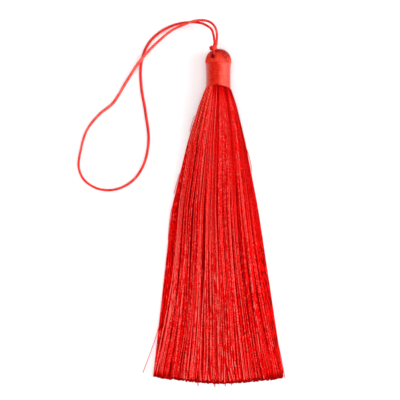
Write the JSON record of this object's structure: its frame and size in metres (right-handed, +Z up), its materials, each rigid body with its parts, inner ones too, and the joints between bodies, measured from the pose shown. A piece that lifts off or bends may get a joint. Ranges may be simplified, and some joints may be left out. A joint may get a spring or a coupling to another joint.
{
  "type": "tassel with hanging cord",
  "caption": "Silky thread tassel lying flat: round folded head, wound neck, long spread skirt of fine locks, and a knotted thin cord loop for hanging.",
  "frame": {"origin": "on the surface that the tassel lies on, under the middle of the tassel's box without its cord and knot", "axes": "+Z up from the surface; +Y along the tassel, from the skirt's cut ends to the round head; +X across it, with the cord loop lying on the -X side"},
  "size_m": [0.0798, 0.1411, 0.0091],
  "materials": {
    "thread": "shiny twisted red thread with a soft silky gloss along its length",
    "binding": "fine shiny red thread, closely wound",
    "cord": "thin twisted satin cord in a slightly lighter red"
  },
  "bodies": {
    "root": {"thread_bundle": "thread", "neck_binding": "binding", "loop_knot": "cord", "loop_cord": "cord"}
  },
  "joints": []
}
